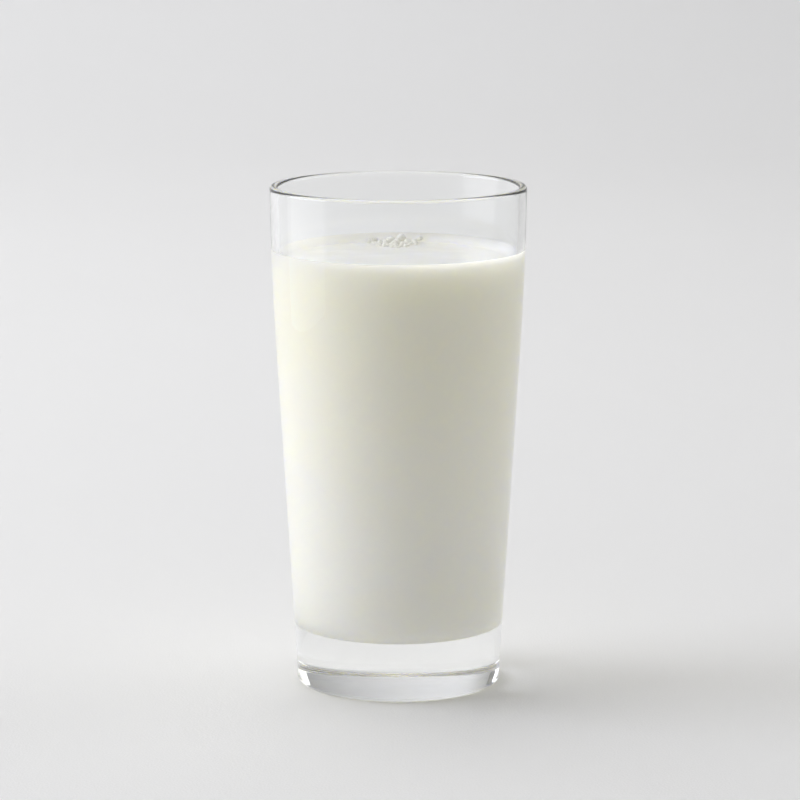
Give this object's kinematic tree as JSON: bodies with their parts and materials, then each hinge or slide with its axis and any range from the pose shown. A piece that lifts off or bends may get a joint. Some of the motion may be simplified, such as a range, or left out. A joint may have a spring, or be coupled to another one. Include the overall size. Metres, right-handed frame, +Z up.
{
  "type": "glass of milk",
  "caption": "Tall, slightly flared drinking glass with a thick clear base, filled with white milk to just below the rim, with a small raft of froth at the wall.",
  "frame": {"origin": "centre of the foot, on the table, on the glass's turning axis", "axes": "+Z up along the glass's axis; +Y to the back, where the froth lies; the picture looks along +Y, a little downwards"},
  "size_m": [0.0712, 0.0712, 0.14],
  "materials": {
    "clear_glass": "clear, polished, fire-rounded rim",
    "milk": "opaque creamy white liquid with a soft gloss"
  },
  "bodies": {
    "root": {"glass": "clear_glass", "milk": "milk"}
  },
  "joints": []
}
